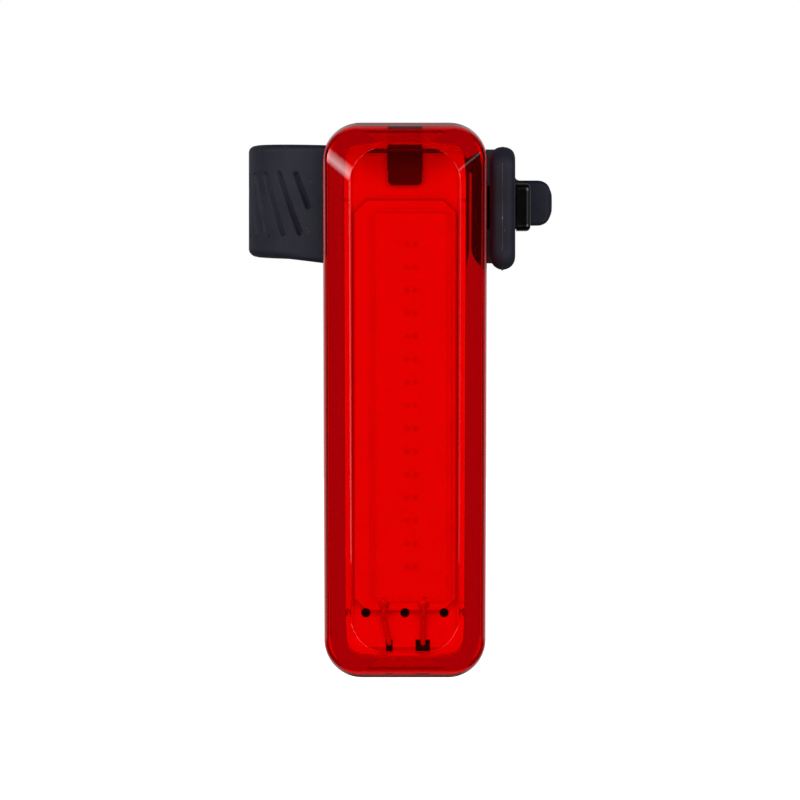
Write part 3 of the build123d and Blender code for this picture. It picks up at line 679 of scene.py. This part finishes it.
def band_ring(station, edge, face_steps, inset=0.0, drop=0.0, bend_along=None, foot_edge=None):
    """One closed ring of the band's rounded section, with its mould's parting line raised.

    inset shrinks the whole section and drop only its height. bend_along is how far along the
    bend it lies, where grooves are cut. foot_edge rounds the lower edges apart from the upper.
    """
    (x, y), out, thick, top, bottom = station
    top -= drop + inset
    bottom += drop + inset
    near, far = inset, thick - inset
    middle = (near + far) / 2
    widest = 0.499 * (far - near)
    head = min(max(edge - inset, LEAST_ROUND), widest)
    foot = min(max((foot_edge or edge) - inset, LEAST_ROUND), widest)
    points = []

    def corner(radius, n, z, start):
        for a in quarter_turn(EDGE_STEPS, start)[:-1]:
            points.append((n - radius * math.cos(a), z + radius * math.sin(a)))

    for step in range(face_steps):
        t = step / face_steps
        height = bottom + foot + (top - bottom - head - foot) * t
        cut = groove_depth(bend_along, height) if bend_along is not None else 0.0
        points.append((near + cut, height))
    corner(head, near + head, top - head, 0)
    for offset, lift in PARTING:
        points.append((middle + offset, top + lift))
    corner(head, far - head, top - head, 90)
    for step in range(INNER_STEPS):
        t = step / INNER_STEPS
        points.append((far, top - head + (bottom - top + head + foot) * t))
    corner(foot, far - foot, bottom + foot, 180)
    for offset, lift in reversed(PARTING):
        points.append((middle + offset, bottom - lift))
    corner(foot, near + foot, bottom + foot, 270)
    return [Vector((x - out[0] * n, y - out[1] * n, z)) * MM for n, z in points]


ANCHOR_PLACES, ANCHOR_HALF = (-7.0, -9.5, -11.98), 7.4

# How far apart the rings are, in radians on the bend and the back, and in mm on the runs
BEND_PITCH, BACK_PITCH, SIDE_PITCH, ARM_PITCH = 0.016, 0.04, 0.25, 0.8

# The strap's two sides meet behind the post, each with a second ring this near, in radians
SEAM_STEP = 0.004


def strap_left_side():
    """From the anchor in the mount, round the grooved bend and half way behind the post."""
    rings = []
    for x in ANCHOR_PLACES:
        anchor = ((x, STRAP_FRONT), (0.0, -1.0), ROOT_THICK, ANCHOR_HALF, -ANCHOR_HALF)
        rings.append(band_ring(anchor, ANCHOR_ROUND, GROOVED_STEPS))
    for angle in steps(0.0, math.pi / 2, BEND_PITCH):
        station, along = bend_station(angle), angle * BEND_RADIUS
        rings.append(band_ring(station, BAND_ROUND, GROOVED_STEPS, bend_along=along))
    for y in steps(BEND_CENTRE[1], BACK_CENTRE[1], SIDE_PITCH)[1:]:
        along = (math.pi / 2) * BEND_RADIUS + y - BEND_CENTRE[1]
        rings.append(band_ring(side_station(y), BAND_ROUND, GROOVED_STEPS, bend_along=along))
    for angle in steps(0.0, math.pi / 2 - SEAM_STEP, BACK_PITCH)[1:] + [math.pi / 2]:
        rings.append(band_ring(back_station(angle), BAND_ROUND, GROOVED_STEPS))
    piece = skin("strap_grooved_side", rings, close_end=False)
    smooth(piece)
    return piece


HOLE_FRONT, HOLE_BACK, HOLE_HALF, HOLE_CORNER, HOLE_RAISE = -22.0, -12.3, 4.1, 1.5, 0.35

# The hole's flared rim: how far out of the strap's face, and how much wider there
HOLE_RIM = ((1.5, 0.75), (0.0, 0.45), (-0.1, 0.24), (-0.24, 0.1), (-0.45, 0.0))


def hole_cutter():
    """What the hook's hole takes out of the strap, flared at both faces to round the rim."""
    outer = [(1, depth, grow) for depth, grow in HOLE_RIM]
    inner = [(-1, depth, grow) for depth, grow in reversed(HOLE_RIM)]
    rings = []
    for side, depth, grow in outer + inner:
        corner = HOLE_CORNER + grow
        back, front = HOLE_BACK + grow - corner, HOLE_FRONT - grow + corner
        high, low = HOLE_HALF + grow - corner, -HOLE_HALF - grow + corner
        centres = ((back, high, 0), (front, high, 90), (front, low, 180), (back, low, 270))
        ring = []
        for cy, cz, start in centres:
            for a in quarter_turn(8, start):
                y = cy + corner * math.cos(a)
                z = HOLE_RAISE + cz + corner * math.sin(a)
                (x, _), _, thick, _, _ = arm_station(y)
                face = x if side > 0 else x - thick
                ring.append(Vector((face + side * depth, y, z)) * MM)
        rings.append(ring)
    return skin("hole_cutter", rings)


LUG_TOP, LUG_FOOT, LUG_PLACE, LUG_HALF = 4.65, -2.25, -9.6, 2.0
LUG_START, LUG_ROUND, LUG_END_ROUND, LUG_CORNER = 17.6, 0.9, 2.2, 0.85

# The lug's soft root: how far out from the middle of the strap, and how much thicker there
LUG_ROOT = ((16.3, 0.6), (16.95, 0.5), (17.05, 0.28), (17.25, 0.1), (LUG_START, 0.0))

# How nearly the lug's end closes across its thickness, and how much it may shrink in height
LUG_CLOSING, LUG_SHRINK = 0.985, 0.3


def pull_lug():
    """The tab to pull the strap open by, with a soft root and rounded corners."""
    reach = end_high.x
    sections = list(LUG_ROOT)
    for step in range(1, 13):
        sections.append((LUG_START + (reach - LUG_ROUND - LUG_START) * step / 12, 0.0))
    for a in quarter_turn(8)[1:]:
        shrink = -LUG_ROUND * (1 - math.cos(a)) * LUG_CLOSING
        sections.append((reach - LUG_ROUND + LUG_ROUND * math.sin(a), shrink))
    loops = []
    for x, grow in sections:
        drop = end_fall(LUG_END_ROUND, reach - x)
        high, low = LUG_TOP - drop, LUG_FOOT + drop
        taller = max(grow, -LUG_SHRINK)
        half = LUG_HALF + grow
        loop = []
        for across, up, start in CORNERS:
            cy = LUG_PLACE + across * (half - LUG_CORNER)
            cz = (high + taller - LUG_CORNER) if up > 0 else (low - taller + LUG_CORNER)
            for a in quarter_turn(6, start):
                y, z = cy + LUG_CORNER * math.cos(a), cz + LUG_CORNER * math.sin(a)
                loop.append(Vector((x, y, z)) * MM)
        loops.append(loop)
    return skin("pull_lug", loops)


# The tip's end: how far it turns round in height, and in thickness with what part of that
TIP_TURN, TIP_SOFT, TIP_SOFT_SHARE = 3.5, 1.3, 0.97

# Where on the arm, counted forwards, its edges and its lower edges grow rounder
EDGE_GROWS, FOOT_GROWS = (0.0, 12.0), (-5.0, 2.0)
ARM_START_ROUND = 1.02


def strap_right_side():
    """From behind the post to the thick tip, with the hole for the hook and the pull lug."""
    rings = []
    for angle in [math.pi / 2] + steps(math.pi / 2 + SEAM_STEP, math.pi, BACK_PITCH):
        rings.append(band_ring(back_station(angle), BAND_ROUND, PLAIN_STEPS))
    rings.append(band_ring(arm_station(ARM_START), ARM_START_ROUND, PLAIN_STEPS))
    for y in steps(ARM_START, ARM_END + TIP_TURN, ARM_PITCH)[1:]:
        edge = between(BAND_ROUND, HEAD_ROUND, share(-y, *EDGE_GROWS))
        foot = between(edge, FOOT_ROUND, share(-y, *FOOT_GROWS))
        rings.append(band_ring(arm_station(y), edge, PLAIN_STEPS, foot_edge=foot))
    for a in quarter_turn(24)[1:]:
        room = TIP_TURN * (1 - math.sin(a))
        inset = end_fall(TIP_SOFT, room)
        rings.append(
            band_ring(
                arm_station(ARM_END + room),
                HEAD_ROUND,
                PLAIN_STEPS,
                inset=inset * TIP_SOFT_SHARE,
                drop=max(end_fall(TIP_TURN, room) - inset, 0.0),
                foot_edge=FOOT_ROUND,
            )
        )
    piece = skin("strap_hooked_side", rings, close_start=False)
    cutter, lug = hole_cutter(), pull_lug()
    for other, operation in ((cutter, "DIFFERENCE"), (lug, "UNION")):
        change = piece.modifiers.new(operation, "BOOLEAN")
        change.operation = operation
        change.solver = "EXACT"
        change.object = other
    apply_modifiers(piece)
    bpy.data.objects.remove(cutter)
    bpy.data.objects.remove(lug)
    smooth(piece)
    return piece


# The flash on the tip: half its width at the foot and the crest, and how deep it is rooted
FLASH_FOOT, FLASH_CREST, FLASH_SUNK = 0.11, 0.05, 0.12

# How far it stands up, how much that wavers in two waves, and where it stops short
FLASH_RISE, FLASH_SWELL, FLASH_WAVES = 0.03, 0.02, (2.1, 0.77)
FLASH_TOP_IN, FLASH_FOOT_IN = 0.05, 0.08


def tip_parting_line():
    """The thin line of flash that the mould leaves down the front of the tip."""
    middle = STRAP_RIGHT - ARM_DRIFT - TIP_THICK / 2
    top, foot = TOP_TIP - FLASH_TOP_IN, FOOT_TIP + FLASH_FOOT_IN
    long_wave, short_wave = FLASH_WAVES
    path = []
    for a in quarter_turn(12):
        y = ARM_END + TIP_TURN * (1 - math.sin(a))
        path.append((y, top - TIP_TURN * (1 - math.cos(a))))
    for step in range(1, 40):
        path.append((ARM_END, top - TIP_TURN + (foot - top + 2 * TIP_TURN) * step / 40))
    for a in quarter_turn(12):
        y = ARM_END + TIP_TURN * (1 - math.cos(a))
        path.append((y, foot + TIP_TURN * (1 - math.sin(a))))
    rings = []
    for index, (y, z) in enumerate(path):
        before, after = path[max(index - 1, 0)], path[min(index + 1, len(path) - 1)]
        along = Vector((after[0] - before[0], after[1] - before[1])).normalized()
        out = Vector((along.y, -along.x))
        swell = FLASH_SWELL * math.sin(long_wave * index) * math.sin(short_wave * index)
        proud = FLASH_RISE + swell
        section = (
            (-FLASH_FOOT, -FLASH_SUNK),
            (-FLASH_CREST, proud),
            (FLASH_CREST, proud),
            (FLASH_FOOT, -FLASH_SUNK),
        )
        ring = []
        for side, rise in section:
            ring.append(Vector((middle + side, y + out.x * rise, z + out.y * rise)) * MM)
        rings.append(ring)
    piece = skin("strap_parting_line", rings)
    smooth(piece, 60.0)
    return piece


strap_grooved = strap_left_side()
dress(strap_grooved, strap_silicone)
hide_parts("strap_root")
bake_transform(strap_grooved)

strap_hooked = strap_right_side()
dress(strap_hooked, strap_silicone)
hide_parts("strap_mid", "strap_end")
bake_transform(strap_hooked)

parting_line = tip_parting_line()
dress(parting_line, flash_edge, "strap_tip")


# The clear red lens, in millimetres, with wide corners that twist from its shoulder to its face

lens_low, lens_high = (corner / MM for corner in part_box("lens_cover"))
LENS_TAPER = 0.25
LENS_HALF_TOP, LENS_HALF_BOTTOM = lens_high.x, lens_high.x - LENS_TAPER
LENS_BACK, LENS_FRONT = -lens_high.y, -lens_low.y
LENS_CORNER, SHOULDER_CORNER, FACE_CORNER = 5.75, 5.2, 5.5
SHOULDER_SIDE, SHOULDER_END, SHOULDER_ROUND, BEVEL_DEEP = 0.15, 0.9, 2.2, 3.7
LENS_WALL, LENS_THICK, SLOPE_DEEP = 1.9, 2.2, 4.0
CEILING_SIDE, CEILING_END, CEILING_CORNER = 3.8, 4.3, 1.95
SHOULDER_STEPS, FACE_STEPS = 10, 6

# The face's edge is this round at the sides, and down to the crisp share of it at the corners
FACE_INSET, FACE_EDGE, CRISP_SHARE, CRISP_FALL = 4.1, 0.4, 0.2, 16


def lens_loop(depth, side_inset, end_inset, corner):
    """The light's tapered outline at this depth: (point, outward direction) all the way round."""
    loop = []
    for side, end, start in CORNERS:
        half = (LENS_HALF_TOP if end > 0 else LENS_HALF_BOTTOM) - side_inset
        edge = (lens_high.z - end_inset) if end > 0 else (lens_low.z + end_inset)
        for a in quarter_turn(20, start):
            out = Vector((math.cos(a), 0.0, math.sin(a)))
            centre = Vector((side * (half - corner), -depth, edge - end * corner))
            loop.append((centre + corner * out, out))
    return loop


def rounded_turn(turn, arriving, leaving, radius, count):
    """Points round an arc that takes off the corner between two directions."""
    bend = arriving.angle(leaving)
    cut = radius * math.tan(bend / 2)
    centre = turn + (leaving - arriving).normalized() * radius / math.cos(bend / 2)
    start = (turn - arriving * cut - centre).normalized()
    end = (turn + leaving * cut - centre).normalized()
    return [centre + radius * start.slerp(end, step / count) for step in range(count + 1)]


def lens_shell():
    """The lens as one closed skin, from its ceiling down the inside and up over the outside."""
    ceiling = lens_loop(LENS_FRONT - LENS_THICK, CEILING_SIDE, CEILING_END, CEILING_CORNER)
    slope_foot = LENS_FRONT - LENS_THICK - SLOPE_DEEP
    inner = LENS_CORNER - LENS_WALL
    inside = [
        ceiling,
        lens_loop(slope_foot, LENS_WALL, LENS_WALL, inner),
        lens_loop(LENS_BACK, LENS_WALL, LENS_WALL, inner),
        lens_loop(LENS_BACK, 0.0, 0.0, LENS_CORNER),
    ]
    rings = [[point * MM for point, _ in loop] for loop in inside]
    back = inside[-1]
    shoulder = lens_loop(LENS_FRONT - BEVEL_DEEP, SHOULDER_SIDE, SHOULDER_END, SHOULDER_CORNER)
    face = lens_loop(LENS_FRONT, FACE_INSET, FACE_INSET, FACE_CORNER)
    sections = []
    for (low, _), (turn, _), (high, out) in zip(back, shoulder, face):
        rise, bevel = (turn - low).normalized(), (high - turn).normalized()
        edge = FACE_EDGE * (CRISP_SHARE + (1 - CRISP_SHARE) * abs(out.x) ** CRISP_FALL)
        sections.append(
            rounded_turn(turn, rise, bevel, SHOULDER_ROUND, SHOULDER_STEPS)
            + rounded_turn(high, bevel, -out, edge, FACE_STEPS)
        )
    for points in zip(*sections):
        rings.append([point * MM for point in points])
    piece = skin("lens_shell", rings)
    smooth(piece, 16.0)
    level_faces = piece.modifiers.new("level_faces", "WEIGHTED_NORMAL")
    level_faces.keep_sharp = True
    apply_modifiers(piece)
    return piece


lens = lens_shell()
dress(lens, clear_red, "light")
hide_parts("lens_cover")


# Solder where the two leads meet the panel, in millimetres

panel_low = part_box("led_board")[0]
PANEL_FACE, PANEL_FOOT = panel_low.y / MM, panel_low.z / MM
SOLDER_RAISE, SOLDER_RADIUS, SOLDER_HEIGHT, SOLDER_STRETCH = 1.25, 0.62, 0.55, 1.15


def solder_joint(name, x):
    """A small dome that flows out to a thin skirt."""
    z = PANEL_FOOT + SOLDER_RAISE
    rings = []
    for step in range(9):
        t = step / 8
        skirt = t <= 0.2
        radius = SOLDER_RADIUS * (1.45 - 2.0 * t if skirt else 1.25 * (1 - t) + 0.04)
        lift = SOLDER_HEIGHT * (1 - (1 - t) ** 2.2)
        ring = []
        for count in range(20):
            a = math.tau * count / 20
            across, up = radius * math.cos(a), SOLDER_STRETCH * radius * math.sin(a)
            ring.append(Vector((x + across, PANEL_FACE - lift, z + up)) * MM)
        rings.append(ring)
    piece = skin(name, rings)
    smooth(piece, 60.0)
    return piece


for name, x in (("solder_left", -3.2), ("solder_right", 2.8)):
    dress(solder_joint(name, x), solder_tin, "light")


# Camera, lamps, backdrop and floor, in metres

VIEW_CENTRE = Vector((-0.00075, -0.034, -0.0291))
VIEW_DISTANCE = 1.0
VIEW_WIDTH = 0.1202
SENSOR_WIDTH = 36.0


def photo_camera():
    """The photograph's view, straight on to the light's face."""
    data = bpy.data.cameras.new("photo_camera")
    camera = bpy.data.objects.new("photo_camera", data)
    bpy.context.scene.collection.objects.link(camera)
    camera.location = VIEW_CENTRE - Vector((0, VIEW_DISTANCE, 0))
    camera.rotation_euler = (math.radians(90), 0, 0)
    data.sensor_width = SENSOR_WIDTH
    data.lens = SENSOR_WIDTH * VIEW_DISTANCE / VIEW_WIDTH
    data.clip_start = 0.05
    data.clip_end = 50.0
    bpy.context.scene.camera = camera


photo_camera()

LAMP_AIM = Vector((0.0, -0.015, -0.029))
LAMP_SIDE, LAMP_FORWARD = 0.68, -1.0
LAMP_WIDE, LAMP_TALL, BAND_TALL, SMALL_LAMP = 1.1, 0.9, 0.19, 0.04
LAMP_HIGH, LAMP_LOW, BAND_HEIGHT = 0.55, -0.7, 0.01


def softbox(name, place, wide, tall, power):
    """A soft lamp at this place, turned to the light."""
    data = bpy.data.lights.new(name, "AREA")
    data.shape = "RECTANGLE"
    data.size = wide
    data.size_y = tall
    data.energy = power
    lamp = bpy.data.objects.new(name, data)
    bpy.context.scene.collection.objects.link(lamp)
    lamp.location = place
    lamp.rotation_euler = (LAMP_AIM - Vector(place)).to_track_quat("-Z", "Y").to_euler()


# The bands between the lamps are weak, because the long edges of the lens's face mirror them
for name, side, power, band_power in (
    ("key_left", -LAMP_SIDE, 8.7, 1.0),
    ("fill_right", LAMP_SIDE, 8.0, 0.3),
):
    for part, height, tall, strength in (
        ("high", LAMP_HIGH, LAMP_TALL, power),
        ("low", LAMP_LOW, LAMP_TALL, power),
        ("band", BAND_HEIGHT, BAND_TALL, band_power),
    ):
        softbox(f"{name}_{part}", (side, LAMP_FORWARD, height), LAMP_WIDE, tall, strength)
softbox("corner_right", (0.6, -0.21, 0.25), SMALL_LAMP, SMALL_LAMP, 0.005)

# A glowing card, no lamp, that only reflections see: it paints the highlight in the lens's upper
# left corner
CARD_LEFT, CARD_NEAR, CARD_FAR, CARD_LOW, CARD_HIGH = -0.6, -0.4, 0.02, 0.04, 0.6
CARD_GLOW = 7.0


def highlight_card():
    """A glowing card seen only in reflections: a painted highlight in the lens's upper left
    corner, soft at both ends.
    """
    card_mesh = bpy.data.meshes.new("highlight_card")
    outline = (
        (CARD_LEFT, CARD_NEAR, CARD_LOW),
        (CARD_LEFT, CARD_FAR, CARD_LOW),
        (CARD_LEFT, CARD_FAR, CARD_HIGH),
        (CARD_LEFT, CARD_NEAR, CARD_HIGH),
    )
    card_mesh.from_pydata(outline, [], [(0, 1, 2, 3)])
    card = bpy.data.objects.new("highlight_card", card_mesh)
    bpy.context.scene.collection.objects.link(card)
    paint = bpy.data.materials.new("card_glow")
    paint.use_nodes = True
    tree = paint.node_tree
    tree.nodes.remove(tree.nodes["Principled BSDF"])
    height = coordinates(tree)["Z"]
    rising = spread(tree, height, 0.05, 0.15, 0.0, CARD_GLOW)
    falling = spread(tree, height, 0.17, 0.34, CARD_GLOW, 0.0)
    glow = tree.nodes.new("ShaderNodeEmission")
    tree.links.new(maths(tree, "MINIMUM", rising, falling), glow.inputs["Strength"])
    unseen = tree.nodes.new("ShaderNodeBsdfTransparent")
    rays = tree.nodes.new("ShaderNodeLightPath")
    mirrored = rays.outputs["Is Glossy Ray"]
    choose_surface(tree, mirrored, unseen.outputs["BSDF"], glow.outputs["Emission"])
    card_mesh.materials.append(paint)


highlight_card()

# How bright the backdrop is in reflections, through the lens and as plain light. The eye sees 1
BACKDROP_MIRRORED = 0.45
BACKDROP_THROUGH = 0.45
AMBIENT = 0.3

# What is left of it in front, in reflections and through the lens, and above and below
FRONT_MIRRORED, FRONT_THROUGH, ABOVE_SHARE, BELOW_SHARE = 0.008, 0.2, 0.35, 0.1


def studio_world():
    """White to the eye. In reflections it is pale behind the light, dark in front of it, and
    dimmer above and below.
    """
    world = bpy.data.worlds.new("studio")
    bpy.context.scene.world = world
    world.use_nodes = True
    tree = world.node_tree
    backdrop = tree.nodes["Background"]
    backdrop.inputs["Color"].default_value = grey(1.0)
    rays = tree.nodes.new("ShaderNodeLightPath")
    towards = coordinates(tree, "Generated")
    behind = spread(tree, towards["Y"], 0.2, 0.6, FRONT_MIRRORED, BACKDROP_MIRRORED)
    above = spread(tree, towards["Z"], 0.02, 0.2, 1.0, ABOVE_SHARE)
    below = spread(tree, towards["Z"], -0.15, -0.02, BELOW_SHARE, 1.0)
    mirrored = maths(tree, "MULTIPLY", behind, maths(tree, "MINIMUM", above, below))
    through = spread(tree, towards["Y"], -0.3, 0.3, FRONT_THROUGH, BACKDROP_THROUGH)
    strength = blend(tree, "FLOAT", mirrored, through, rays.outputs["Is Transmission Ray"])
    strength = blend(tree, "FLOAT", strength, AMBIENT, rays.outputs["Is Diffuse Ray"])
    strength = blend(tree, "FLOAT", strength, 1.0, rays.outputs["Is Camera Ray"])
    tree.links.new(strength, backdrop.inputs["Strength"])


studio_world()

FLOOR_HEIGHT, FLOOR_RADIUS = -0.112, 6.0
FLOOR_LIFT, FLOOR_BOUNCE = 0.45, 0.4
WHITE_FROM, WHITE_BY = 0.12, 0.3


def studio_floor():
    """A pale floor that whitens into the backdrop. Reflections and the lens see past it."""
    disc = bmesh.new()
    bmesh.ops.create_circle(disc, cap_ends=True, segments=96, radius=FLOOR_RADIUS)
    data = bpy.data.meshes.new("floor")
    disc.to_mesh(data)
    disc.free()
    floor = bpy.data.objects.new("floor", data)
    bpy.context.scene.collection.objects.link(floor)
    floor.location = (0, 0, FLOOR_HEIGHT)
    paint, shader = new_finish(
        "floor_paint", Base_Color=grey(0.9), Roughness=0.9, Specular_IOR_Level=0.1
    )
    tree = paint.node_tree
    lift = tree.nodes.new("ShaderNodeEmission")
    lift.inputs["Color"].default_value = grey(1.0)
    rays = tree.nodes.new("ShaderNodeLightPath")
    place = tree.nodes.new("ShaderNodeTexCoord")
    from_middle = tree.nodes.new("ShaderNodeVectorMath")
    from_middle.operation = "LENGTH"
    tree.links.new(place.outputs["Object"], from_middle.inputs[0])
    whitening = spread(
        tree, from_middle.outputs["Value"], WHITE_FROM, WHITE_BY, FLOOR_LIFT, 1.0
    )
    bounce = maths(tree, "MULTIPLY", FLOOR_BOUNCE, rays.outputs["Is Diffuse Ray"])
    strength = blend(tree, "FLOAT", bounce, whitening, rays.outputs["Is Camera Ray"])
    tree.links.new(strength, lift.inputs["Strength"])
    both = tree.nodes.new("ShaderNodeAddShader")
    tree.links.new(shader.outputs["BSDF"], both.inputs[0])
    tree.links.new(lift.outputs["Emission"], both.inputs[1])
    past = tree.nodes.new("ShaderNodeBsdfTransparent")
    unseen = maths(
        tree, "MAXIMUM", rays.outputs["Is Glossy Ray"], rays.outputs["Is Transmission Ray"]
    )
    choose_surface(tree, unseen, both.outputs["Shader"], past.outputs["BSDF"])
    data.materials.append(paint)


studio_floor()

bpy.context.scene.view_settings.view_transform = "Standard"
